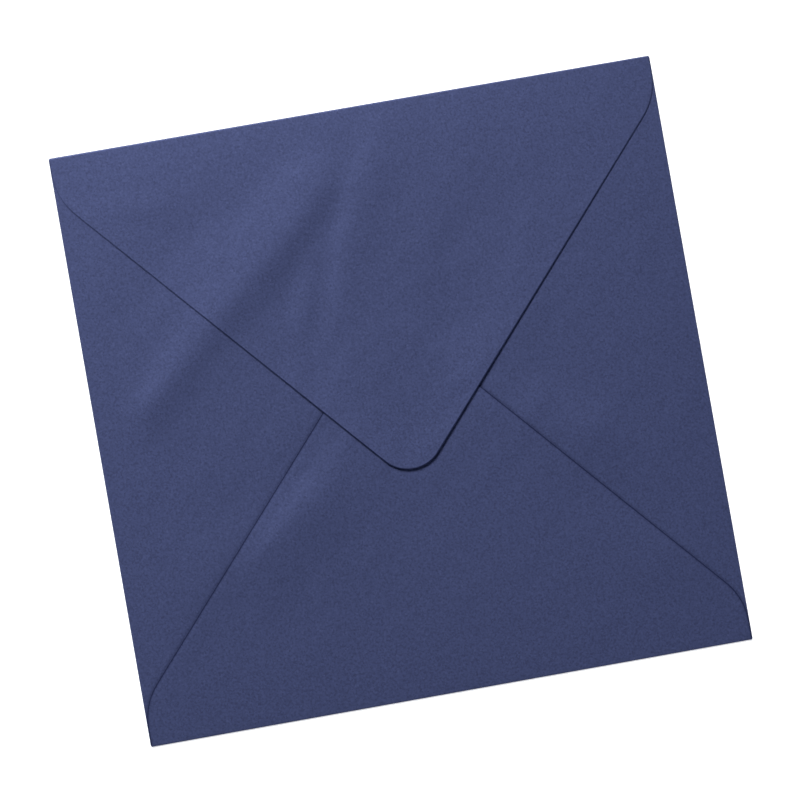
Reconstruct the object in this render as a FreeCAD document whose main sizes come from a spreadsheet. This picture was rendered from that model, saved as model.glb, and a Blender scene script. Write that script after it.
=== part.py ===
"""A square greeting-card envelope, closed: one die-cut sheet of paper, folded on four sides.

The envelope lies on its address side, with the flaps up. X runs along its width, Y along its height
towards the fold of the closing flap, and Z up through the layers of paper. The origin is the middle of
the face that it lies on. Sizes are in millimetres.

From the bottom, the layers are the front panel, the two side flaps, the bottom flap, which is glued to
the side flaps where it laps over them, and the closing flap. All four flaps have one kind of outline:
a short straight run at each end of the fold, a rounded shoulder, a straight side and a rounded tip.
"""

import FreeCAD
import Part
import Sketcher

import math
import os
from dataclasses import dataclass
from enum import IntEnum

# The driving dimensions: name, value in millimetres, and what it measures.
SIZES = [
    ("width", 155.0, "outside size along the fold of the closing flap"),
    ("height", 151.0, "outside size from the closing flap's fold to the bottom fold"),
    ("paper", 0.18, "thickness of the sheet"),
    ("pocket_gap", 0.30, "room between the front panel and the side flaps"),
    ("closing_gap", 0.68, "room between the bottom flap and the closing flap, which isn't stuck down"),
    ("closing_depth", 93.3, "from the fold of the closing flap to its tip"),
    ("tip_cover", 36.1, "how far the closing flap's tip laps past the bottom flap's tip"),
    ("side_tip_space", 13.6, "between the tips of the two side flaps"),
    ("closing_end_run", 4.4, "straight run at each end of the closing flap, from the fold"),
    ("bottom_end_run", 4.8, "straight run at each end of the bottom flap, from the fold"),
    ("side_end_run", 1.4, "straight run at each end of a side flap, from the fold"),
    ("shoulder_radius", 16.0, "rounding of the shoulders of the closing and bottom flaps"),
    ("side_shoulder_radius", 4.0, "rounding of the shoulders of the side flaps"),
    ("tip_radius", 9.1, "rounding of the tip of each flap"),
    ("end_clearance", 0.12, "from the ends of the top and bottom folds to the bends of the side folds"),
    ("side_clearance", 0.56, "from the ends of the side folds to the bend of the top fold"),
]

# Outside heights of the three kinds of fold, as expressions on the sizes. Each fold is a half turn of
# the sheet, so its outside radius is half of that height.
SIDE_FOLD = "(2 * sizes.paper + sizes.pocket_gap)"
BOTTOM_FOLD = "(3 * sizes.paper + sizes.pocket_gap)"
CLOSING_FOLD = "(4 * sizes.paper + sizes.pocket_gap + sizes.closing_gap)"

# Lengths of the folds.
CROSS_LENGTH = f"(sizes.width - {SIDE_FOLD} - 2 * sizes.end_clearance)"
SIDE_LENGTH = f"(sizes.height - {CLOSING_FOLD} - 2 * sizes.side_clearance)"

# Depths of the flaps that aren't driving dimensions themselves.
BOTTOM_DEPTH = "(sizes.height + sizes.tip_cover - sizes.closing_depth)"
SIDE_DEPTH = "((sizes.width - sizes.side_tip_space) / 2)"

UP = FreeCAD.Vector(0, 0, 1)


class At(IntEnum):
    """A sketch's numbers for the ends and the centre of an edge."""

    START = 1
    END = 2
    CENTRE = 3


class Fixed(IntEnum):
    """A sketch's numbers for its own axes. The horizontal axis starts at the origin."""

    HORIZONTAL_AXIS = -1
    VERTICAL_AXIS = -2


ORIGIN = (Fixed.HORIZONTAL_AXIS, At.START)


@dataclass(frozen=True)
class Flap:
    """A flap and its fold. The sizes are expressions on the sheet of sizes."""

    name: str
    turn: float         # in degrees about Z, from the closing flap's side of the envelope
    reach: str          # from the middle of the envelope to the outside of the fold
    fold_height: str
    fold_length: str
    depth: str          # from the outside of the fold to the tip
    end_run: str
    shoulder_radius: str


FLAPS = [
    Flap("left", 90, "sizes.width / 2", SIDE_FOLD, SIDE_LENGTH, SIDE_DEPTH,
         "sizes.side_end_run", "sizes.side_shoulder_radius"),
    Flap("right", -90, "sizes.width / 2", SIDE_FOLD, SIDE_LENGTH, SIDE_DEPTH,
         "sizes.side_end_run", "sizes.side_shoulder_radius"),
    Flap("bottom", 180, "sizes.height / 2", BOTTOM_FOLD, CROSS_LENGTH, BOTTOM_DEPTH,
         "sizes.bottom_end_run", "sizes.shoulder_radius"),
    Flap("closing", 0, "sizes.height / 2", CLOSING_FOLD, CROSS_LENGTH, "sizes.closing_depth",
         "sizes.closing_end_run", "sizes.shoulder_radius"),
]


def size_sheet(doc):
    """The sheet that every feature reads its sizes from."""
    sheet = doc.addObject("Spreadsheet::Sheet", "sizes")
    for row, (name, value, meaning) in enumerate(SIZES, start=1):
        sheet.set(f"A{row}", meaning)
        sheet.set(f"B{row}", str(value))
        sheet.setAlias(f"B{row}", name)
    doc.recompute()
    return sheet


class BoundSketch:
    """A sketch on one of the body's origin planes, with dimensions bound to the sheet of sizes."""

    def __init__(self, body, sheet, name, role, axis, turn):
        origin_plane = next(part for part in body.Origin.OriginFeatures if part.Role == role)
        self.sheet = sheet
        self.sketch = body.newObject("Sketcher::SketchObject", name)
        self.sketch.AttachmentSupport = [(origin_plane, "")]
        self.sketch.MapMode = "FlatFace"
        self.sketch.AttachmentOffset = FreeCAD.Placement(FreeCAD.Vector(), FreeCAD.Rotation(axis, turn))

    def value(self, expression):
        """What an expression on the sizes comes to, in millimetres."""
        return float(self.sheet.evalExpression(expression))

    def line(self, start, end):
        """Add a straight edge between two (x, y) points."""
        return self.sketch.addGeometry(Part.LineSegment(FreeCAD.Vector(*start), FreeCAD.Vector(*end)))

    def arc(self, centre, radius, first, last):
        """Add an arc that runs counter-clockwise between two angles in radians."""
        circle = Part.Circle(FreeCAD.Vector(*centre), UP, radius)
        return self.sketch.addGeometry(Part.ArcOfCircle(circle, first, last))

    def tie(self, kind, *where):
        """Add a constraint that has no size of its own."""
        self.sketch.addConstraint(Sketcher.Constraint(kind, *where))

    def size(self, name, kind, *where, to):
        """Add a dimension that is bound to an expression on the sizes."""
        index = self.sketch.addConstraint(Sketcher.Constraint(kind, *where, self.value(to)))
        self.sketch.renameConstraint(index, name)
        self.sketch.setExpression(f"Constraints.{name}", to)

    def check(self):
        """Stop if the sketch isn't fully fixed by its constraints and dimensions."""
        state = self.sketch.solve()
        if state != 0 or not self.sketch.FullyConstrained:
            raise RuntimeError(f"{self.sketch.Name} isn't fully constrained (solver state {state})")


def pad(body, profile, name, length, symmetric=False):
    """Raise a profile into the sheet's solid, on one side of its plane or evenly on both."""
    profile.check()
    feature = body.newObject("PartDesign::Pad", name)
    feature.Profile = profile.sketch
    feature.setExpression("Length", length)
    if symmetric:
        feature.SideType = "Symmetric"
    return feature


def front_panel(body, sheet):
    """The panel that bears the address: flat between the bends of the four folds."""
    profile = BoundSketch(body, sheet, "front_outline", "XY_Plane", UP, 0)
    side = profile.value(f"(sizes.width - {SIDE_FOLD}) / 2")
    top = profile.value(f"(sizes.height - {CLOSING_FOLD}) / 2")
    foot = profile.value(f"-(sizes.height - {BOTTOM_FOLD}) / 2")
    corners = [(-side, foot), (side, foot), (side, top), (-side, top)]
    edges = [profile.line(corners[i], corners[(i + 1) % 4]) for i in range(4)]
    low, right, high, left = edges
    for first, second in zip(edges, edges[1:] + edges[:1]):
        profile.tie("Coincident", first, At.END, second, At.START)
    profile.tie("Horizontal", high)
    profile.tie("Vertical", left)
    profile.tie("Vertical", right)
    profile.tie("Symmetric", low, At.START, low, At.END, Fixed.VERTICAL_AXIS)
    profile.size("panel_width", "DistanceX", low, At.START, low, At.END, to=f"sizes.width - {SIDE_FOLD}")
    profile.size("top_bend", "DistanceY", *ORIGIN, high, At.START,
                 to=f"(sizes.height - {CLOSING_FOLD}) / 2")
    profile.size("bottom_bend", "DistanceY", low, At.START, *ORIGIN,
                 to=f"(sizes.height - {BOTTOM_FOLD}) / 2")
    return pad(body, profile, "front_panel", "sizes.paper")


def fold(body, sheet, flap):
    """The half turn of the sheet at the root of a flap, as a ring section run along the fold."""
    across = FreeCAD.Vector(0, 1, 0)
    profile = BoundSketch(body, sheet, f"{flap.name}_fold_section", "YZ_Plane", across, flap.turn)
    outer = profile.value(f"{flap.fold_height} / 2")
    inner = outer - profile.value("sizes.paper")
    bend = profile.value(flap.reach) - outer
    quarter = math.pi / 2
    outside = profile.arc((bend, outer), outer, -quarter, quarter)
    inside = profile.arc((bend, outer), inner, -quarter, quarter)
    upper = profile.line((bend, outer + outer), (bend, outer + inner))
    lower = profile.line((bend, outer - inner), (bend, 0))
    profile.tie("Coincident", outside, At.CENTRE, inside, At.CENTRE)
    profile.tie("Coincident", outside, At.END, upper, At.START)
    profile.tie("Coincident", upper, At.END, inside, At.END)
    profile.tie("Coincident", inside, At.START, lower, At.START)
    profile.tie("Coincident", lower, At.END, outside, At.START)
    profile.tie("Vertical", upper)
    profile.tie("Vertical", lower)
    profile.tie("PointOnObject", outside, At.CENTRE, upper)
    profile.tie("PointOnObject", outside, At.CENTRE, lower)
    profile.size("outer_radius", "Radius", outside, to=f"{flap.fold_height} / 2")
    profile.size("sheet", "DistanceY", lower, At.END, lower, At.START, to="sizes.paper")
    profile.size("bend", "DistanceX", *ORIGIN, outside, At.CENTRE,
                 to=f"{flap.reach} - {flap.fold_height} / 2")
    profile.size("middle", "DistanceY", *ORIGIN, outside, At.CENTRE, to=f"{flap.fold_height} / 2")
    return pad(body, profile, f"{flap.name}_fold", flap.fold_length, symmetric=True)


def flap_panel(body, sheet, flap):
    """A flap from its fold to its tip, lying flat at the top of the fold."""
    profile = BoundSketch(body, sheet, f"{flap.name}_outline", "XY_Plane", UP, flap.turn)
    profile.sketch.setExpression(".AttachmentOffset.Base.z", f"{flap.fold_height} - sizes.paper")

    root = profile.value(f"{flap.reach} - {flap.fold_height} / 2")
    half = profile.value(f"{flap.fold_length} / 2")
    run_end = profile.value(f"{flap.reach} - {flap.end_run}")
    shoulder = profile.value(flap.shoulder_radius)
    tip = profile.value("sizes.tip_radius")
    tip_middle = profile.value(f"{flap.reach} - {flap.depth} + sizes.tip_radius")

    # The straight side touches the shoulder's arc and the tip's arc. Its outward normal on the right
    # points down by this angle, which follows from the two arcs' centres and radii.
    rise = run_end - tip_middle
    span = half - shoulder
    normal = math.acos((tip - shoulder) / math.hypot(span, rise)) - math.atan2(rise, span)

    def on_arc(middle_x, middle_y, radius, side):
        return (middle_x + side * radius * math.cos(normal), middle_y - radius * math.sin(normal))

    base = profile.line((-half, root), (half, root))
    tip_arc = profile.arc((0, tip_middle), tip, math.pi + normal, 2 * math.pi - normal)
    runs = {}
    arcs = {}
    for side, name in ((1, "right"), (-1, "left")):
        middle = side * span
        run = profile.line((side * half, root), (side * half, run_end))
        angles = (-normal, 0) if side > 0 else (math.pi, math.pi + normal)
        arc = profile.arc((middle, run_end), shoulder, *angles)
        straight = profile.line(on_arc(middle, run_end, shoulder, side), on_arc(0, tip_middle, tip, side))
        run_point, side_point = (At.END, At.START) if side > 0 else (At.START, At.END)
        profile.tie("Coincident", base, At.END if side > 0 else At.START, run, At.START)
        profile.tie("Vertical", run)
        profile.tie("Tangent", run, At.END, arc, run_point)
        profile.tie("Tangent", arc, side_point, straight, At.START)
        profile.tie("Tangent", straight, At.END, tip_arc, At.END if side > 0 else At.START)
        profile.size(f"{name}_run", "DistanceY", *ORIGIN, run, At.END, to=f"{flap.reach} - {flap.end_run}")
        runs[side] = run
        arcs[side] = arc
    profile.tie("Symmetric", base, At.START, base, At.END, Fixed.VERTICAL_AXIS)
    profile.tie("Equal", arcs[1], arcs[-1])
    profile.tie("PointOnObject", tip_arc, At.CENTRE, Fixed.VERTICAL_AXIS)
    profile.size("fold_length", "DistanceX", base, At.START, base, At.END, to=flap.fold_length)
    profile.size("bend", "DistanceY", *ORIGIN, base, At.START,
                 to=f"{flap.reach} - {flap.fold_height} / 2")
    profile.size("shoulder", "Radius", arcs[1], to=flap.shoulder_radius)
    profile.size("tip", "Radius", tip_arc, to="sizes.tip_radius")
    profile.size("tip_middle", "DistanceY", *ORIGIN, tip_arc, At.CENTRE,
                 to=f"{flap.reach} - {flap.depth} + sizes.tip_radius")
    return pad(body, profile, f"{flap.name}_flap", "sizes.paper")


def make_envelope(doc, sheet):
    """The whole folded sheet, as one solid."""
    body = doc.addObject("PartDesign::Body", "envelope")
    body.Label = "envelope"
    front_panel(body, sheet)
    for flap in FLAPS:
        fold(body, sheet, flap)
        body.Tip = flap_panel(body, sheet, flap)
    return body


def check(doc, bodies):
    """Stop if any object failed, or any sub-part isn't one sound solid."""
    for item in doc.Objects:
        if "Invalid" in item.State or "Error" in item.State:
            raise RuntimeError(f"{item.Label} failed: {item.State}")
    for body in bodies:
        shape = body.Shape
        if shape.isNull() or not shape.isValid() or len(shape.Solids) != 1:
            raise RuntimeError(f"{body.Label} isn't one sound solid")


def main():
    doc = FreeCAD.newDocument("paper_envelope")
    sheet = size_sheet(doc)
    bodies = [make_envelope(doc, sheet)]
    doc.recompute()
    check(doc, bodies)
    os.makedirs("parts", exist_ok=True)
    for body in bodies:
        body.Shape.exportStep(f"parts/{body.Label}.step")
        box = body.Shape.BoundBox
        print(f"{body.Label}: {box.XLength:.2f} x {box.YLength:.2f} x {box.ZLength:.2f} mm, "
              f"{body.Shape.Volume:.0f} cubic mm, {len(body.Shape.Faces)} faces")


main()
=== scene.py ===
"""The looks of a closed paper envelope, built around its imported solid.

The envelope is one sheet of pearlescent navy paper: a front panel that it lies on, two side flaps, a
bottom flap glued over them, and a closing flap on top. Everything is in metres, in the frame of the
solid: X along the fold of the closing flap, Y towards that fold, Z up through the layers.
"""

import logging
import math
from bisect import bisect_left
from dataclasses import dataclass, field
from enum import Enum

import bmesh
import bpy
from mathutils import Euler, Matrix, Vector, noise


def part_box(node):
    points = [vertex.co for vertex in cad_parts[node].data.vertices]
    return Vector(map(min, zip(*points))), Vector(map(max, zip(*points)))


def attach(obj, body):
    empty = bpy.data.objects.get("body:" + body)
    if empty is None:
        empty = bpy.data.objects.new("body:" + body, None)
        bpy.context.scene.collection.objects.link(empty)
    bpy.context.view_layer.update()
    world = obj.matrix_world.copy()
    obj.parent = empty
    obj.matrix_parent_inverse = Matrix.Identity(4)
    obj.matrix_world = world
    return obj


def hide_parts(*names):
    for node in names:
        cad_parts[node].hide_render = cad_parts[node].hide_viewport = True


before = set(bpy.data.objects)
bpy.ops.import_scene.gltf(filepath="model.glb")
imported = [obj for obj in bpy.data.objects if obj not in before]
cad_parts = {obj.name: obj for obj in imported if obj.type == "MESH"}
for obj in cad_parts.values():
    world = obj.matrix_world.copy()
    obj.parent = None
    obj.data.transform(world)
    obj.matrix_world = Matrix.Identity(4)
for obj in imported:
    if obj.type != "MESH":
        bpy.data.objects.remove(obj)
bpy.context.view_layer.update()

log = logging.getLogger("envelope")
logging.basicConfig(level=logging.INFO, format="%(name)s: %(message)s")

MM = 0.001
Point = tuple[float, float]


class Side(Enum):
    """A side of the envelope, as the direction that points out of it."""

    LEFT = (-1, 0)
    RIGHT = (1, 0)
    BOTTOM = (0, -1)
    TOP = (0, 1)

    @property
    def outward(self) -> Vector:
        """The unit vector out of the envelope on this side."""
        return Vector((*self.value, 0))

    @property
    def along(self) -> Vector:
        """The unit vector along the fold on this side, with no sign."""
        return Vector((abs(self.value[1]), abs(self.value[0]), 0))


@dataclass(frozen=True)
class Flap:
    """One flap: its fold, and the outline from the fold to the tip.

    Args:
        side: the side of the envelope where its fold is.
        fold_radius: from the middle of the bend to the middle of the paper.
        half_fold: half of the fold's length.
        depth: from the outside of the fold to the tip.
        end_run: length of the straight run at each end of the fold.
        shoulder_radius: rounding between that run and the flap's straight side.
        tip_radius: rounding of the tip.
    """

    side: Side
    fold_radius: float
    half_fold: float
    depth: float
    end_run: float
    shoulder_radius: float
    tip_radius: float = 9.1 * MM

    crease_step: float = 0.12 * MM      # a first line beside the fold, so that the fold stays crisp
    row_step: float = 1.4 * MM
    tip_step: float = math.radians(5)

    def side_normal(self) -> float:
        """The angle below the fold's line at which the flap's straight side faces outwards."""
        span = self.half_fold - self.shoulder_radius
        rise = self.depth - self.tip_radius - self.end_run
        reach = math.hypot(span, rise)
        return math.acos((self.tip_radius - self.shoulder_radius) / reach) - math.atan2(rise, span)

    def tip_start(self) -> float:
        """The distance from the outside of the fold to where the rounding of the tip starts."""
        return self.depth - self.tip_radius * (1 - math.sin(self.side_normal()))

    def rows(self, start: float) -> list[Point]:
        """The lines across the flap that its mesh is built from.

        Args:
            start: the distance from the outside of the fold to where the flap begins.

        Returns:
            The distance from the outside of the fold and the half width of each line. The last one is
            the tip's own short straight end, a few hundredths of a millimetre from the true rounding.
        """
        normal = self.side_normal()
        shoulder_end = self.end_run + self.shoulder_radius * math.sin(normal)
        shoulder_half = self.half_fold - self.shoulder_radius * (1 - math.cos(normal))
        tip_middle = self.depth - self.tip_radius
        tip_start = self.tip_start()

        rows = [(start + self.crease_step, self.half_fold)]
        count = math.ceil((tip_start - start) / self.row_step)
        for index in range(1, count + 1):
            distance = start + (tip_start - start) * index / count
            if distance <= self.end_run:
                half = self.half_fold
            elif distance <= shoulder_end:
                drop = distance - self.end_run
                half = self.half_fold - self.shoulder_radius + math.sqrt(self.shoulder_radius**2 - drop**2)
            else:
                half = shoulder_half - (distance - shoulder_end) * math.tan(normal)
            rows.append((distance, half))
        turns = math.ceil((math.pi / 2 - normal) / self.tip_step)
        for index in range(1, turns):
            angle = normal + (math.pi / 2 - normal) * index / turns
            rows.append((tip_middle + self.tip_radius * math.sin(angle), self.tip_radius * math.cos(angle)))
        return rows


@dataclass(frozen=True)
class Crest:
    """A point on a ripple's crest, in millimetres.

    Args:
        right: from the envelope's left side.
        down: from its top.
        height: of the crest there, or of the bottom of a hollow where it is negative.
        left_flank: from the crest to the steepest line to its left, on the way along it.
        right_flank: the same to its right.
    """

    right: float
    down: float
    height: float
    left_flank: float
    right_flank: float


@dataclass(frozen=True)
class Ripple:
    """A soft ridge or hollow in the layers of paper."""

    crest: tuple[Crest, ...]

    def rise(self, x: float, y: float) -> float:
        """How far it lifts the paper at a place from the top left corner, all in millimetres."""
        nearest, height = math.inf, 0.0
        for start, end in zip(self.crest, self.crest[1:]):
            run_x, run_y = end.right - start.right, end.down - start.down
            off_x, off_y = x - start.right, y - start.down
            share = (off_x * run_x + off_y * run_y) / (run_x**2 + run_y**2)
            share = min(1.0, max(0.0, share))
            off_x, off_y = off_x - share * run_x, off_y - share * run_y
            distance = math.hypot(off_x, off_y)
            if distance < nearest:
                nearest = distance
                left = start.left_flank + share * (end.left_flank - start.left_flank)
                right = start.right_flank + share * (end.right_flank - start.right_flank)
                side = (run_x * off_y - run_y * off_x) / math.hypot(run_x, run_y)
                width = left + (right - left) * (0.5 + 0.5 * side / max(distance, 1e-6))
                top = start.height + share * (end.height - start.height)
                height = top * math.exp(-0.5 * (distance / width) ** 2)
        return height


# One strong ridge crosses the left flap and the closing flap. The rest are the slight waves of a sheet
# that has been folded and handled.
RIPPLES = [
    Ripple((
        Crest(9, 72.5, 0.06, 3, 3), Crest(15, 66.5, 0.42, 3.4, 3.6), Crest(28.5, 53, 0.40, 3.8, 4.0),
        Crest(37, 45.5, 0.42, 6, 4), Crest(45, 39, 0.42, 7, 4), Crest(57.5, 29, 0.42, 8.5, 3.4),
        Crest(66.5, 18.5, 0.36, 8, 3.2), Crest(72, 9, 0.04, 4, 3),
    )),
    Ripple((Crest(6, 46, -0.04, 5, 4), Crest(26, 29, -0.12, 5, 4), Crest(52, 15, -0.08, 4, 4))),
    Ripple((Crest(2, 6, 0.03, 2.4, 2.4), Crest(60, 6, 0.03, 2.4, 2.4))),
    Ripple((Crest(52, 67, 0.02, 2, 2), Crest(57, 50, 0.12, 1.8, 1.8), Crest(61, 36, 0.07, 1.6, 1.6))),
    Ripple((
        Crest(62, 60, 0.04, 2.4, 4), Crest(66, 50, 0.16, 2.4, 4), Crest(71, 34, 0.22, 2.4, 5),
        Crest(76, 20, 0.24, 2.2, 5), Crest(84, 5, 0.13, 2, 4),
    )),
    Ripple((Crest(80, 78, -0.08, 9, 8), Crest(92, 58, -0.20, 8, 7), Crest(110, 30, -0.13, 8, 7))),
    Ripple((
        Crest(29, 115.5, 0.04, 3, 8), Crest(38, 107, 0.34, 3.4, 9), Crest(50, 97, 0.50, 3.6, 9),
        Crest(62, 86, 0.13, 3.4, 8),
    )),
    Ripple((Crest(6, 119, 0.10, 6, 7), Crest(24, 109, 0.14, 6, 7))),
    Ripple((Crest(112, 84, 0.22, 5, 6), Crest(124, 92, 0.40, 5, 7), Crest(133, 99, 0.16, 5, 7))),
    Ripple((Crest(127, 120, 0.12, 4.5, 6), Crest(136, 127, 0.30, 4.5, 6), Crest(145, 133, 0.14, 4, 5))),
    Ripple((Crest(8, 15, 0.06, 3, 2.5), Crest(22, 16, 0.10, 3, 2.5))),
    Ripple((Crest(101, 66, 0.05, 4, 5), Crest(112, 56, 0.08, 4, 5))),
]


@dataclass
class FoldedSheet:
    """The envelope's one sheet of paper, die-cut, folded on four sides and glued."""

    name: str = "envelope_sheet"
    node: str = "envelope"
    thickness: float = 0.18 * MM
    seam_gap: float = 0.03 * MM          # between the side flaps and the bottom flap on them
    closing_gap: float = 0.04 * MM       # between the bottom flap and the closing flap on it
    side_fold_radius: float = 0.10 * MM
    side_inset: float = 0.36 * MM        # from the ends of the side folds to the top and bottom
    columns: int = 96
    rows: int = 92
    fold_steps: int = 8
    weld: float = 0.02 * MM              # points nearer than this are made one

    pinch_long: float = 10.0 * MM         # how far in from the top and bottom folds the paper swells
    pinch_side: float = 10.0 * MM        # the same from the side folds
    swell: float = 0.17 * MM
    wave: float = 0.045 * MM             # height of the small waves all over the flaps
    wave_length: Point = (24 * MM, 9 * MM)   # along the diagonal of the sheet, and across it

    flap_spring: float = 0.40 * MM       # how far the closing flap has opened, at its tip
    tip_curl: float = 0.10 * MM          # how far its tip curls up from there
    tip_reach: float = 20 * MM
    edge_curl: float = 0.18 * MM         # the same for its two straight edges, near the tip
    edge_reach: float = 7 * MM
    climb_reach: float = 6 * MM          # how far from the bottom flap it starts to climb on to it
    seam_curl: float = 0.05 * MM         # the same for the edges of the bottom flap
    free_wear_and_shade: float = 0.3               # how dark the band along the closing flap's cut edge is: partly crushed by its fold, partly painted shade under the lifted edge; 1 at its tip
    glued_wear_and_shade: float = 0.85             # the same for the flaps that are pressed flat and glued
    wear_and_shade_growth: float = 0.6             # how soon that grows towards the tip

    ripples: list[Ripple] = field(default_factory=lambda: list(RIPPLES))

    def __post_init__(self) -> None:
        low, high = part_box(self.node)
        self.half_width = (high.x - low.x) / 2
        self.half_height = (high.y - low.y) / 2
        self.floor = low.z + self.thickness / 2
        step = self.thickness + self.seam_gap
        self.side_level = self.floor + 2 * self.side_fold_radius
        self.bottom_level = self.side_level + step
        self.closing_level = self.side_level + self.thickness + self.closing_gap
        self.climb = step
        upright = self.half_height - self.side_inset
        across = self.half_width - self.side_fold_radius - self.thickness / 2
        cover = (self.bottom_level - self.floor) / 2
        closing = (self.closing_level - self.floor) / 2
        tip_gap = 6.8 * MM
        side_depth = self.half_width - tip_gap
        self.flaps = [
            Flap(Side.LEFT, self.side_fold_radius, upright, side_depth, 1.4 * MM, 4 * MM),
            Flap(Side.RIGHT, self.side_fold_radius, upright, side_depth, 1.4 * MM, 4 * MM),
            Flap(Side.BOTTOM, cover, across, 93.8 * MM, 4.8 * MM, 16 * MM),
            Flap(Side.TOP, closing, across, 93.3 * MM, 4.4 * MM, 16 * MM),
        ]
        self.outlines = {}
        for flap in self.flaps:
            start = flap.fold_radius + self.thickness / 2
            rows = flap.rows(start)
            self.outlines[flap.side] = [(start, flap.half_fold), *rows, (rows[-1][0], 0.0)]

    def outside(self, side: Side) -> float:
        """The distance from the middle of the envelope to its edge on one side."""
        return self.half_width if side in (Side.LEFT, Side.RIGHT) else self.half_height

    def bend(self, flap: Flap) -> float:
        """The distance from the middle of the envelope to where a fold starts to bend."""
        return self.outside(flap.side) - flap.fold_radius - self.thickness / 2

    def build(self) -> bpy.types.Object:
        """Model the sheet, give it its relief and thickness, and put it in place of the plain solid.

        Returns:
            The finished piece.
        """
        piece = self.front_panel()
        for flap in self.flaps:
            self.fold(piece, flap)
            self.extend(piece, flap)
        bpy.ops.mesh.select_all(action="SELECT")
        bpy.ops.mesh.remove_doubles(threshold=self.weld)
        bpy.ops.mesh.flip_normals()
        bpy.ops.object.mode_set(mode="OBJECT")
        flaps = [self.flap_at(vertex.co) for vertex in piece.data.vertices]
        self.mark_paper(piece, flaps)
        self.shape_relief(piece, flaps)
        self.thicken(piece)
        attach(piece, "root")
        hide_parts(self.node)
        log.info("%s: %d faces", piece.name, len(piece.data.polygons))
        return piece

    def front_panel(self) -> bpy.types.Object:
        """Add the flat front panel as a grid, cut where the ends of the folds will be, in edit mode."""
        bends = {flap.side: self.bend(flap) for flap in self.flaps}
        size = (bends[Side.LEFT] + bends[Side.RIGHT], bends[Side.TOP] + bends[Side.BOTTOM])
        middle = (0, (bends[Side.TOP] - bends[Side.BOTTOM]) / 2, self.floor)
        bpy.ops.object.select_all(action="DESELECT")
        bpy.ops.mesh.primitive_grid_add(
            x_subdivisions=self.columns, y_subdivisions=self.rows, size=1, location=middle
        )
        piece = bpy.context.object
        piece.name = self.name
        piece.data.name = self.name
        piece.scale = (*size, 1)
        bpy.ops.object.transform_apply(location=True, rotation=True, scale=True)
        bpy.ops.object.mode_set(mode="EDIT")
        bpy.ops.mesh.select_mode(type="EDGE")
        for end in (-self.flaps[0].half_fold, self.flaps[0].half_fold):
            bpy.ops.mesh.select_all(action="SELECT")
            bpy.ops.mesh.bisect(plane_co=(0, end, self.floor), plane_no=(0, 1, 0), threshold=0.001 * MM)
        return piece

    def fold(self, piece: bpy.types.Object, flap: Flap) -> None:
        """Select the front panel's edge at a flap's root and turn it over in a half circle.

        Args:
            piece: the sheet, in edit mode.
            flap: the flap whose fold is made.
        """
        bend = self.bend(flap)
        outward, along = flap.side.outward, flap.side.along
        bpy.ops.mesh.select_all(action="DESELECT")
        mesh = bmesh.from_edit_mesh(piece.data)
        near = 0.01 * MM
        for edge in mesh.edges:
            ends = [vertex.co for vertex in edge.verts]
            edge.select = all(
                abs(end.dot(outward) - bend) < near
                and abs(end.dot(along)) < flap.half_fold + near
                and abs(end.z - self.floor) < near
                for end in ends
            )
        mesh.select_flush(True)
        bmesh.update_edit_mesh(piece.data)
        centre = outward * bend + Vector((0, 0, self.floor + flap.fold_radius))
        bpy.ops.mesh.spin(
            steps=self.fold_steps, angle=math.pi, center=centre, axis=Vector((0, 0, 1)).cross(outward)
        )

    def extend(self, piece: bpy.types.Object, flap: Flap) -> None:
        """Extrude the folded edge, line by line, into the flap's outline.

        Args:
            piece: the sheet, in edit mode.
            flap: the flap whose folded edge is selected.
        """
        bpy.ops.mesh.select_mode(type="VERT")
        round_from = flap.tip_start() + 0.001 * MM
        outward, along = flap.side.outward, flap.side.along
        start = flap.fold_radius + self.thickness / 2
        distance, half = start, flap.half_fold
        for next_distance, next_half in flap.rows(start):
            bpy.ops.mesh.extrude_edges_move(
                TRANSFORM_OT_translate={"value": -outward * (next_distance - distance)}
            )
            if next_distance > round_from:
                self.pull_in(piece, along, next_half)
            else:
                ratio = next_half / half
                bpy.ops.transform.resize(
                    value=Vector((1, 1, 1)) + along * (ratio - 1), center_override=(0, 0, 0)
                )
            distance, half = next_distance, next_half
        bpy.ops.mesh.select_mode(type="EDGE")

    def pull_in(self, piece: bpy.types.Object, along: Vector, half: float) -> None:
        """Pull the two ends of the selected line in to the tip's outline, and select the line again.

        Args:
            piece: the sheet, in edit mode, with points selected.
            along: the line's direction.
            half: half of the width that the line has to have.
        """
        mesh = bmesh.from_edit_mesh(piece.data)
        mesh.verts.index_update()
        line = [vertex.index for vertex in mesh.verts if vertex.select]
        for end in (-1, 1):
            mesh.verts.ensure_lookup_table()
            beyond = [index for index in line if end * mesh.verts[index].co.dot(along) > half]
            self.select_points(piece, beyond)
            bpy.ops.transform.resize(
                value=Vector((1, 1, 1)) - along, center_override=along * (end * half)
            )
            mesh = bmesh.from_edit_mesh(piece.data)
        self.select_points(piece, line)

    def select_points(self, piece: bpy.types.Object, indices: list[int]) -> None:
        """Select just these points of the sheet, and the edges between them.

        Args:
            piece: the sheet, in edit mode.
            indices: the points' numbers.
        """
        bpy.ops.mesh.select_all(action="DESELECT")
        mesh = bmesh.from_edit_mesh(piece.data)
        mesh.verts.ensure_lookup_table()
        for index in indices:
            mesh.verts[index].select = True
        mesh.select_flush(True)
        bmesh.update_edit_mesh(piece.data)

    def flap_at(self, place: Vector) -> Flap | None:
        """The flap that a point is on before the relief is given, or none on the front panel and folds."""
        near = 0.005 * MM
        for flap in self.flaps:
            reach = place.dot(flap.side.outward)
            level = self.floor + 2 * flap.fold_radius
            inside = abs(reach) if flap.side in (Side.TOP, Side.BOTTOM) else reach
            if abs(place.z - level) < near and near < inside < self.bend(flap) + near:
                return flap
        return None

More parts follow.
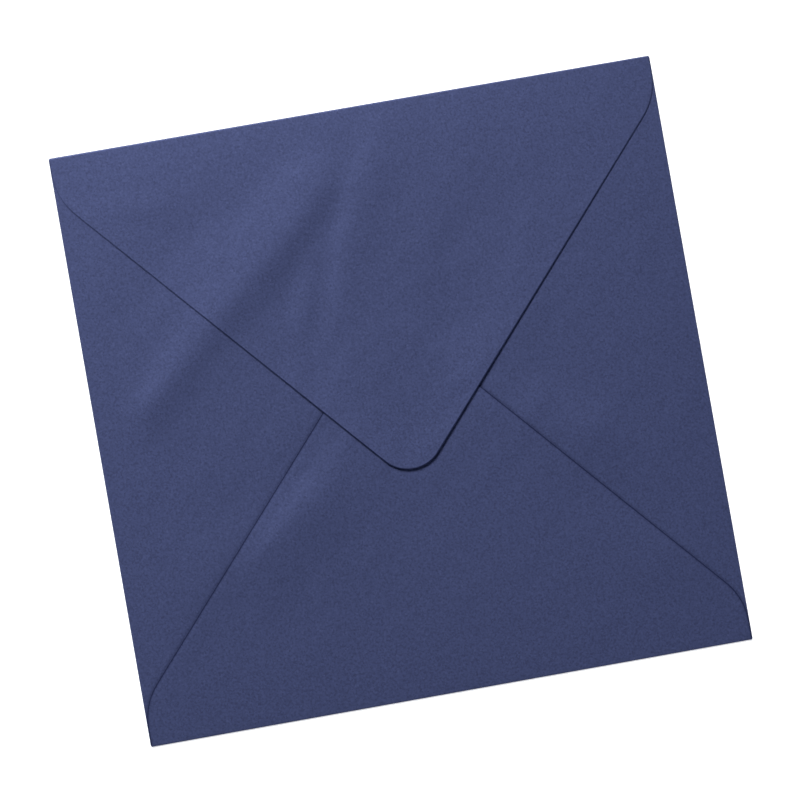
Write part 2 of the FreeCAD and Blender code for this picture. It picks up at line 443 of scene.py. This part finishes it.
    def flat_place(self, place: Vector, flap: Flap | None) -> Point:
        """Where a point of the folded sheet lies when the sheet is opened out flat.

        Args:
            place: a point on the middle of the paper, before the relief is given.
            flap: the flap that it is on.

        Returns:
            The flat sheet's two coordinates, with the front panel where it is.
        """
        flat = place.xy
        if flap is not None:
            beyond = self.bend(flap) - place.dot(flap.side.outward)
            flat += flap.side.outward.xy * (2 * beyond + math.pi * flap.fold_radius)
        return flat.x, flat.y

    def mark_paper(self, piece: bpy.types.Object, flaps: list[Flap | None]) -> None:
        """Give the sheet its flat UV map in metres, and each point its distances from the cut edges.

        Args:
            piece: the sheet.
            flaps: the flap that each of its points is on.
        """
        mesh = piece.data
        layer = mesh.uv_layers.new(name="flat_sheet")
        places = [self.flat_place(vertex.co, flap) for vertex, flap in zip(mesh.vertices, flaps)]
        for loop in mesh.loops:
            layer.data[loop.index].uv = places[loop.vertex_index]
        bottom = self.flaps[2]
        edge = mesh.attributes.new("edge_distance", "FLOAT", "POINT")
        seam = mesh.attributes.new("seam_distance", "FLOAT", "POINT")
        worn_and_shaded = mesh.attributes.new("edge_wear_and_shade", "FLOAT", "POINT")
        for vertex, flap in zip(mesh.vertices, flaps):
            glued = flap is not None and flap.side is not Side.TOP
            edge.data[vertex.index].value = -self.cut_distance(vertex.co, flap)
            seam.data[vertex.index].value = self.cut_distance(vertex.co, bottom if glued else None)
            worn_and_shaded.data[vertex.index].value = self.wear_and_shade(vertex.co, flap)

    def wear_and_shade(self, place: Vector, flap: Flap | None) -> float:
        """How dark the band along the paper's cut edge is near a point: partly an edge crushed by handling,
        partly painted shade that deepens towards the tip.

        Args:
            place: a point of the sheet.
            flap: the flap that it is on.

        Returns:
            Nothing off the flaps, and on a flap a share that grows to one at its tip.
        """
        if flap is None:
            return 0.0
        depth = self.outside(flap.side) - place.dot(flap.side.outward)
        least = self.free_wear_and_shade if flap.side is Side.TOP else self.glued_wear_and_shade
        return least + (1 - least) * (depth / flap.depth) ** self.wear_and_shade_growth

    def cut_distance(self, place: Vector, flap: Flap | None) -> float:
        """How far a point is from a flap's cut edge, up to a limit.

        Args:
            place: a point of the sheet, on that flap or on one under it.
            flap: the flap, or none where no cut edge is near.

        Returns:
            The distance, less than nothing inside the flap's outline.
        """
        limit = 20 * MM
        if flap is None:
            return -limit
        depth = self.outside(flap.side) - place.dot(flap.side.outward)
        half = abs(place.dot(flap.side.along))
        corners = self.outlines[flap.side]
        middle = bisect_left(corners, (depth, 0.0))
        reach = 12
        near = corners[max(0, middle - reach):middle + reach]
        best, inside = math.inf, False
        for (start_depth, start_half), (end_depth, end_half) in zip(near, near[1:]):
            run, rise = end_depth - start_depth, end_half - start_half
            share = ((depth - start_depth) * run + (half - start_half) * rise) / (run * run + rise * rise)
            share = min(1.0, max(0.0, share))
            off = math.hypot(depth - start_depth - share * run, half - start_half - share * rise)
            if off < best:
                best = off
                inside = (depth - start_depth) * rise - (half - start_half) * run > 0
        best = min(best, limit)
        return -best if inside else best

    def relief(self, x: float, y: float) -> float:
        """How far the flaps stand above their own folds: the swell of an empty envelope and its ripples.

        Args:
            x: the place along the width, in the envelope's frame.
            y: the place along the height.

        Returns:
            The height, which is nothing at all four edges.
        """
        off_side = max(0.0, self.half_width - abs(x))
        off_long = max(0.0, self.half_height - abs(y))
        spread = (1 - math.exp(-off_side / self.pinch_side)) * (1 - math.exp(-off_long / self.pinch_long))
        across, down = (x + self.half_width) / MM, (self.half_height - y) / MM
        ripples = MM * sum(ripple.rise(across, down) for ripple in self.ripples)
        along, over = (x + y) / self.wave_length[0], (y - x) / self.wave_length[1]
        waves = noise.noise(Vector((along, over, 0.3))) + 0.5 * noise.noise(Vector((2 * along, 2 * over, 5.1)))
        return spread * (self.swell + ripples + self.wave * waves)

    def shape_relief(self, piece: bpy.types.Object, flaps: list[Flap | None]) -> None:
        """Raise the flaps off the flat front panel, and the free edges a little more.

        Args:
            piece: the sheet.
            flaps: the flap that each of its points is on.
        """
        bottom, closing = self.flaps[2:]
        tip = Vector((5 * MM, self.half_height - closing.depth + 4 * MM))
        inward = piece.data.attributes["edge_distance"].data
        for vertex, flap in zip(piece.data.vertices, flaps):
            place = vertex.co
            if abs(place.z - self.floor) < 0.005 * MM:
                continue
            rise = self.relief(place.x, place.y)
            if flap is not None:
                depth = self.outside(flap.side) - place.dot(flap.side.outward)
                free = 1 - math.exp(-depth / self.pinch_side)
                edge = math.exp(-max(0.0, inward[vertex.index].value) / self.edge_reach) * free
                if flap is closing:
                    opened = depth / closing.depth
                    beside = max(0.0, self.cut_distance(place, bottom))
                    rise += (self.flap_spring + self.edge_curl * edge) * opened
                    rise += self.climb * math.exp(-beside / self.climb_reach)
                    rise += self.tip_curl * math.exp(-(((place.xy - tip).length / self.tip_reach) ** 2))
                elif flap.side is Side.BOTTOM:
                    rise += self.seam_curl * edge
            place.z += rise

    def thicken(self, piece: bpy.types.Object) -> None:
        """Turn the middle surface into paper of real thickness, with its cut edges as their own finish."""
        wall = piece.modifiers.new("paper", "SOLIDIFY")
        wall.thickness = self.thickness
        wall.offset = 0
        wall.use_rim = True
        wall.material_offset_rim = 1
        bpy.ops.object.modifier_apply(modifier=wall.name)
        bpy.ops.object.shade_smooth_by_angle(angle=math.radians(40))


class PaperGrain:
    """The node group of the paper's surface, shared by the coated face and the cut edge."""

    name = "paper_grain"
    fibre_scale = 1700.0      # per metre
    flake_scale = 2300.0
    mottle_scale = 170.0

    @classmethod
    def group(cls) -> bpy.types.NodeTree:
        """The group, made when it is first asked for.

        Returns:
            A node group that takes a place and puts out the grain's masks and its height in millimetres.
        """
        if cls.name in bpy.data.node_groups:
            return bpy.data.node_groups[cls.name]
        group = bpy.data.node_groups.new(cls.name, "ShaderNodeTree")
        group.interface.new_socket("Place", in_out="INPUT", socket_type="NodeSocketVector")
        for output in ("Fibre", "Flake", "Mottle", "Height"):
            group.interface.new_socket(output, in_out="OUTPUT", socket_type="NodeSocketFloat")
        nodes, links = group.nodes, group.links
        place = nodes.new("NodeGroupInput").outputs["Place"]
        result = nodes.new("NodeGroupOutput")

        fibre = nodes.new("ShaderNodeTexNoise")
        fibre.inputs["Scale"].default_value = cls.fibre_scale
        fibre.inputs["Detail"].default_value = 1.0
        mottle = nodes.new("ShaderNodeTexNoise")
        mottle.inputs["Scale"].default_value = cls.mottle_scale
        mottle.inputs["Detail"].default_value = 2.0
        cells = nodes.new("ShaderNodeTexVoronoi")
        cells.inputs["Scale"].default_value = cls.flake_scale
        for texture in (fibre, mottle, cells):
            links.new(place, texture.inputs["Vector"])
        chance = nodes.new("ShaderNodeSeparateColor")
        links.new(cells.outputs["Color"], chance.inputs["Color"])
        flake = nodes.new("ShaderNodeMapRange")
        flake.inputs["From Min"].default_value = 0.8
        flake.inputs["From Max"].default_value = 1.0
        links.new(chance.outputs["Red"], flake.inputs["Value"])

        fine = nodes.new("ShaderNodeMath")
        fine.operation = "MULTIPLY"
        fine.inputs[1].default_value = 0.010
        links.new(fibre.outputs["Fac"], fine.inputs[0])
        height = nodes.new("ShaderNodeMath")
        height.operation = "MULTIPLY_ADD"
        height.inputs[1].default_value = 0.022
        links.new(mottle.outputs["Fac"], height.inputs[0])
        links.new(fine.outputs[0], height.inputs[2])

        spread = nodes.new("ShaderNodeMapRange")
        spread.inputs["From Min"].default_value = 0.3
        spread.inputs["From Max"].default_value = 0.7
        links.new(fibre.outputs["Fac"], spread.inputs["Value"])
        speckle = nodes.new("ShaderNodeMix")
        links.new(spread.outputs["Result"], speckle.inputs["A"])
        links.new(chance.outputs["Green"], speckle.inputs["B"])
        links.new(speckle.outputs["Result"], result.inputs["Fibre"])
        links.new(flake.outputs["Result"], result.inputs["Flake"])
        links.new(mottle.outputs["Fac"], result.inputs["Mottle"])
        links.new(height.outputs[0], result.inputs["Height"])
        return group


@dataclass(frozen=True)
class PearlPaper:
    """Navy paper with a thin pearl coating: a soft metallic lustre over fine grain, with painted shade along
    its glued seams and cut edges.
    """

    name: str = "pearl_paper"
    deep: tuple[float, float, float] = (0.0437, 0.0538, 0.1240)
    pale: tuple[float, float, float] = (0.0707, 0.0880, 0.2010)
    speck: tuple[float, float, float] = (0.10, 0.122, 0.255)
    # Dark navy used for painted shade along the glued seams and under the flaps' cut edges, and for the
    # crushed cut edge itself.
    crush_and_shade: tuple[float, float, float] = (0.004, 0.007, 0.035)
    metallic: float = 0.65
    roughness: float = 0.5
    low_metallic: float = 0.15          # the same two where the paper is seen at a low angle
    low_roughness: float = 0.8
    low_facing: Point = (0.08, 0.38)    # how far it is turned from the eye as they change, 1 edge on
    specular: float = 0.25
    # Width of the dark band along the cut edges: partly a crushed edge, partly painted shade under the flap's
    # edge.
    crush_and_shade_width: float = 0.34 * MM
    seam_shade: float = 0.32                # painted shade: how much darker the paper is painted along the glued seams, where shade falls in the crease
    seam_shade_width: float = 0.85 * MM
    seam_width: float = 1.3 * MM
    seam_depth: float = 0.025          # in millimetres, as the grain's height is

    def build(self) -> bpy.types.Material:
        """Make the material.

        Returns:
            The finished material.
        """
        material = bpy.data.materials.new(self.name)
        material.use_nodes = True
        nodes, links = material.node_tree.nodes, material.node_tree.links
        shader = nodes["Principled BSDF"]
        shader.inputs["Specular IOR Level"].default_value = self.specular
        turned = nodes.new("ShaderNodeLayerWeight")
        lustre = {
            "Metallic": (self.metallic, self.low_metallic),
            "Roughness": (self.roughness, self.low_roughness),
        }
        for socket, (face_on, low) in lustre.items():
            shader.inputs[socket].default_value = face_on
            fade = nodes.new("ShaderNodeMapRange")
            fade.interpolation_type = "SMOOTHSTEP"
            fade.inputs["From Min"].default_value = self.low_facing[0]
            fade.inputs["From Max"].default_value = self.low_facing[1]
            fade.inputs["To Min"].default_value = face_on
            fade.inputs["To Max"].default_value = low
            links.new(turned.outputs["Facing"], fade.inputs["Value"])
            links.new(fade.outputs["Result"], shader.inputs[socket])

        flat = nodes.new("ShaderNodeUVMap")
        flat.uv_map = "flat_sheet"
        grain = nodes.new("ShaderNodeGroup")
        grain.node_tree = PaperGrain.group()
        links.new(flat.outputs["UV"], grain.inputs["Place"])

        fibres = nodes.new("ShaderNodeMix")
        fibres.data_type = "RGBA"
        fibres.inputs["A"].default_value = (*self.deep, 1)
        fibres.inputs["B"].default_value = (*self.pale, 1)
        links.new(grain.outputs["Fibre"], fibres.inputs["Factor"])
        face = nodes.new("ShaderNodeMix")
        face.data_type = "RGBA"
        face.inputs["B"].default_value = (*self.speck, 1)
        links.new(fibres.outputs["Result"], face.inputs["A"])
        few = nodes.new("ShaderNodeMath")
        few.operation = "MULTIPLY"
        few.inputs[1].default_value = 0.22
        links.new(grain.outputs["Flake"], few.inputs[0])
        links.new(few.outputs[0], face.inputs["Factor"])

        # Painted shade: the base colour is darkened along the bottom flap's glued seams, where shade falls in
        # the crease.
        beside = nodes.new("ShaderNodeAttribute")
        beside.attribute_name = "seam_distance"
        off_seam = nodes.new("ShaderNodeMath")
        off_seam.operation = "ABSOLUTE"
        links.new(beside.outputs["Fac"], off_seam.inputs[0])
        seam_shade = nodes.new("ShaderNodeMapRange")
        seam_shade.interpolation_type = "SMOOTHSTEP"
        seam_shade.inputs["From Max"].default_value = self.seam_shade_width
        seam_shade.inputs["To Min"].default_value = self.seam_shade
        seam_shade.inputs["To Max"].default_value = 0.0
        links.new(off_seam.outputs[0], seam_shade.inputs["Value"])
        seam_shaded = nodes.new("ShaderNodeMix")
        seam_shaded.data_type = "RGBA"
        seam_shaded.inputs["B"].default_value = (*self.crush_and_shade, 1)
        links.new(seam_shade.outputs["Result"], seam_shaded.inputs["Factor"])
        links.new(face.outputs["Result"], seam_shaded.inputs["A"])

        # Along the cut edges the colour is darkened: partly a crushed edge, partly painted shade under the
        # flap's edge, darker towards the tip.
        inward = nodes.new("ShaderNodeAttribute")
        inward.attribute_name = "edge_distance"
        edge_crush_and_shade = nodes.new("ShaderNodeMapRange")
        edge_crush_and_shade.inputs["From Min"].default_value = self.crush_and_shade_width
        edge_crush_and_shade.inputs["From Max"].default_value = 0.1 * self.crush_and_shade_width
        links.new(inward.outputs["Fac"], edge_crush_and_shade.inputs["Value"])
        colour = nodes.new("ShaderNodeMix")
        colour.data_type = "RGBA"
        colour.inputs["B"].default_value = (*self.crush_and_shade, 1)
        worn_and_shaded = nodes.new("ShaderNodeAttribute")
        worn_and_shaded.attribute_name = "edge_wear_and_shade"
        crush_and_shade = nodes.new("ShaderNodeMath")
        crush_and_shade.operation = "MULTIPLY"
        links.new(edge_crush_and_shade.outputs["Result"], crush_and_shade.inputs[0])
        links.new(worn_and_shaded.outputs["Fac"], crush_and_shade.inputs[1])
        links.new(crush_and_shade.outputs[0], colour.inputs["Factor"])
        links.new(seam_shaded.outputs["Result"], colour.inputs["A"])
        links.new(colour.outputs["Result"], shader.inputs["Base Color"])

        valley = nodes.new("ShaderNodeMapRange")
        valley.interpolation_type = "SMOOTHSTEP"
        valley.inputs["From Max"].default_value = self.seam_width
        valley.inputs["To Min"].default_value = -self.seam_depth
        valley.inputs["To Max"].default_value = 0.0
        links.new(off_seam.outputs[0], valley.inputs["Value"])
        height = nodes.new("ShaderNodeMath")
        links.new(grain.outputs["Height"], height.inputs[0])
        links.new(valley.outputs["Result"], height.inputs[1])
        bump = nodes.new("ShaderNodeBump")
        bump.inputs["Distance"].default_value = MM
        links.new(height.outputs[0], bump.inputs["Height"])
        links.new(bump.outputs["Normal"], shader.inputs["Normal"])
        return material


@dataclass(frozen=True)
class PaperCore:
    """The bare dyed fibre that shows on the sheet's cut edges."""

    name: str = "paper_core"
    colour: tuple[float, float, float] = (0.012, 0.019, 0.070)
    roughness: float = 0.85

    def build(self) -> bpy.types.Material:
        """Make the material.

        Returns:
            The finished material.
        """
        material = bpy.data.materials.new(self.name)
        material.use_nodes = True
        nodes, links = material.node_tree.nodes, material.node_tree.links
        shader = nodes["Principled BSDF"]
        shader.inputs["Base Color"].default_value = (*self.colour, 1)
        shader.inputs["Roughness"].default_value = self.roughness
        place = nodes.new("ShaderNodeTexCoord")
        grain = nodes.new("ShaderNodeGroup")
        grain.node_tree = PaperGrain.group()
        links.new(place.outputs["Object"], grain.inputs["Place"])
        bump = nodes.new("ShaderNodeBump")
        bump.inputs["Distance"].default_value = MM
        links.new(grain.outputs["Height"], bump.inputs["Height"])
        links.new(bump.outputs["Normal"], shader.inputs["Normal"])
        return material


@dataclass
class Studio:
    """The plain pale floor, the lights and the camera."""

    floor_radius: float = 4.0
    wall_height: float = 1.2
    key_azimuth: float = math.radians(111)    # from +X towards +Y
    key_elevation: float = math.radians(46)
    key_spread: float = math.radians(24)
    key_strength: float = 4.2
    world_colour: tuple[float, float, float] = (0.82, 0.92, 1.18)
    world_strength: float = 0.14
    floor_glow: float = 0.6

    camera_distance: float = 3.9306           # in widths of the envelope
    camera_aside: tuple[float, float] = (-0.00205, -0.00072)
    camera_turn: tuple[float, float, float] = (0.978, -1.449, -9.99)
    focal_length: float = 108.0

    def build(self, width: float) -> None:
        """Make the camera, the floor and its wall, the key light and the world.

        Args:
            width: the envelope's width.
        """
        self.camera(width)
        self.floor()
        self.lights()
        bpy.context.scene.view_settings.view_transform = "Standard"

    def camera(self, width: float) -> None:
        """Look straight down on the envelope, turned as in the photograph."""
        data = bpy.data.cameras.new("camera")
        data.lens = self.focal_length
        data.clip_start = 0.01
        camera = bpy.data.objects.new("camera", data)
        turn = Euler([math.radians(angle) for angle in self.camera_turn])
        offset = Vector((*self.camera_aside, self.camera_distance)) * width
        offset.rotate(turn)
        camera.rotation_euler = turn
        camera.location = offset
        bpy.context.scene.collection.objects.link(camera)
        bpy.context.scene.camera = camera

    def floor(self) -> None:
        """Lay a wide pale floor just under the envelope, with a low wall round it as the horizon."""
        bpy.ops.object.select_all(action="DESELECT")
        bpy.ops.mesh.primitive_circle_add(
            vertices=96, radius=self.floor_radius, fill_type="NGON", location=(0, 0, -0.01 * MM)
        )
        floor = bpy.context.object
        floor.name = "floor"
        floor.data.materials.append(self.backdrop("floor_white", self.floor_glow))

        bpy.ops.object.select_all(action="DESELECT")
        bpy.ops.mesh.primitive_cylinder_add(
            vertices=96, radius=self.floor_radius, depth=self.wall_height, end_fill_type="NOTHING",
            location=(0, 0, self.wall_height / 2),
        )
        wall = bpy.context.object
        wall.name = "wall"
        wall.data.materials.append(self.backdrop("wall_white", 1.0))

    def backdrop(self, name: str, glow: float) -> bpy.types.Material:
        """A white surface that keeps shadows, and glows only for what the camera sees in it.

        Args:
            name: the material's name.
            glow: how much light it adds for the camera, in mirrors and through glass.

        Returns:
            The finished material.
        """
        material = bpy.data.materials.new(name)
        material.use_nodes = True
        nodes, links = material.node_tree.nodes, material.node_tree.links
        shader = nodes["Principled BSDF"]
        shader.inputs["Base Color"].default_value = (0.8, 0.8, 0.8, 1)
        shader.inputs["Roughness"].default_value = 1.0
        shader.inputs["Specular IOR Level"].default_value = 0.0
        shader.inputs["Emission Color"].default_value = (1, 1, 1, 1)
        rays = nodes.new("ShaderNodeLightPath")
        seen = rays.outputs["Is Camera Ray"]
        for other in ("Is Glossy Ray", "Is Transmission Ray"):
            either = nodes.new("ShaderNodeMath")
            either.operation = "MAXIMUM"
            links.new(seen, either.inputs[0])
            links.new(rays.outputs[other], either.inputs[1])
            seen = either.outputs[0]
        strength = nodes.new("ShaderNodeMath")
        strength.operation = "MULTIPLY"
        strength.inputs[1].default_value = glow
        links.new(seen, strength.inputs[0])
        links.new(strength.outputs[0], shader.inputs["Emission Strength"])
        return material

    def lights(self) -> None:
        """A soft key light from beyond the closing fold and a little to the left, and a dim even sky."""
        data = bpy.data.lights.new("key", "SUN")
        data.angle = self.key_spread
        data.energy = self.key_strength
        key = bpy.data.objects.new("key", data)
        level = math.cos(self.key_elevation)
        place = Vector((
            math.cos(self.key_azimuth) * level,
            math.sin(self.key_azimuth) * level,
            math.sin(self.key_elevation),
        ))
        key.location = place
        key.rotation_euler = (-place).to_track_quat("-Z", "Y").to_euler()
        bpy.context.scene.collection.objects.link(key)

        world = bpy.data.worlds.new("studio")
        world.use_nodes = True
        sky = world.node_tree.nodes["Background"]
        sky.inputs["Color"].default_value = (*self.world_colour, 1)
        sky.inputs["Strength"].default_value = self.world_strength
        bpy.context.scene.world = world


def main() -> None:
    """Build the studio and the envelope, and dress it."""
    sheet = FoldedSheet()
    Studio().build(2 * sheet.half_width)
    piece = sheet.build()
    piece.data.materials.append(PearlPaper().build())
    piece.data.materials.append(PaperCore().build())


if __name__ == "__main__":
    main()
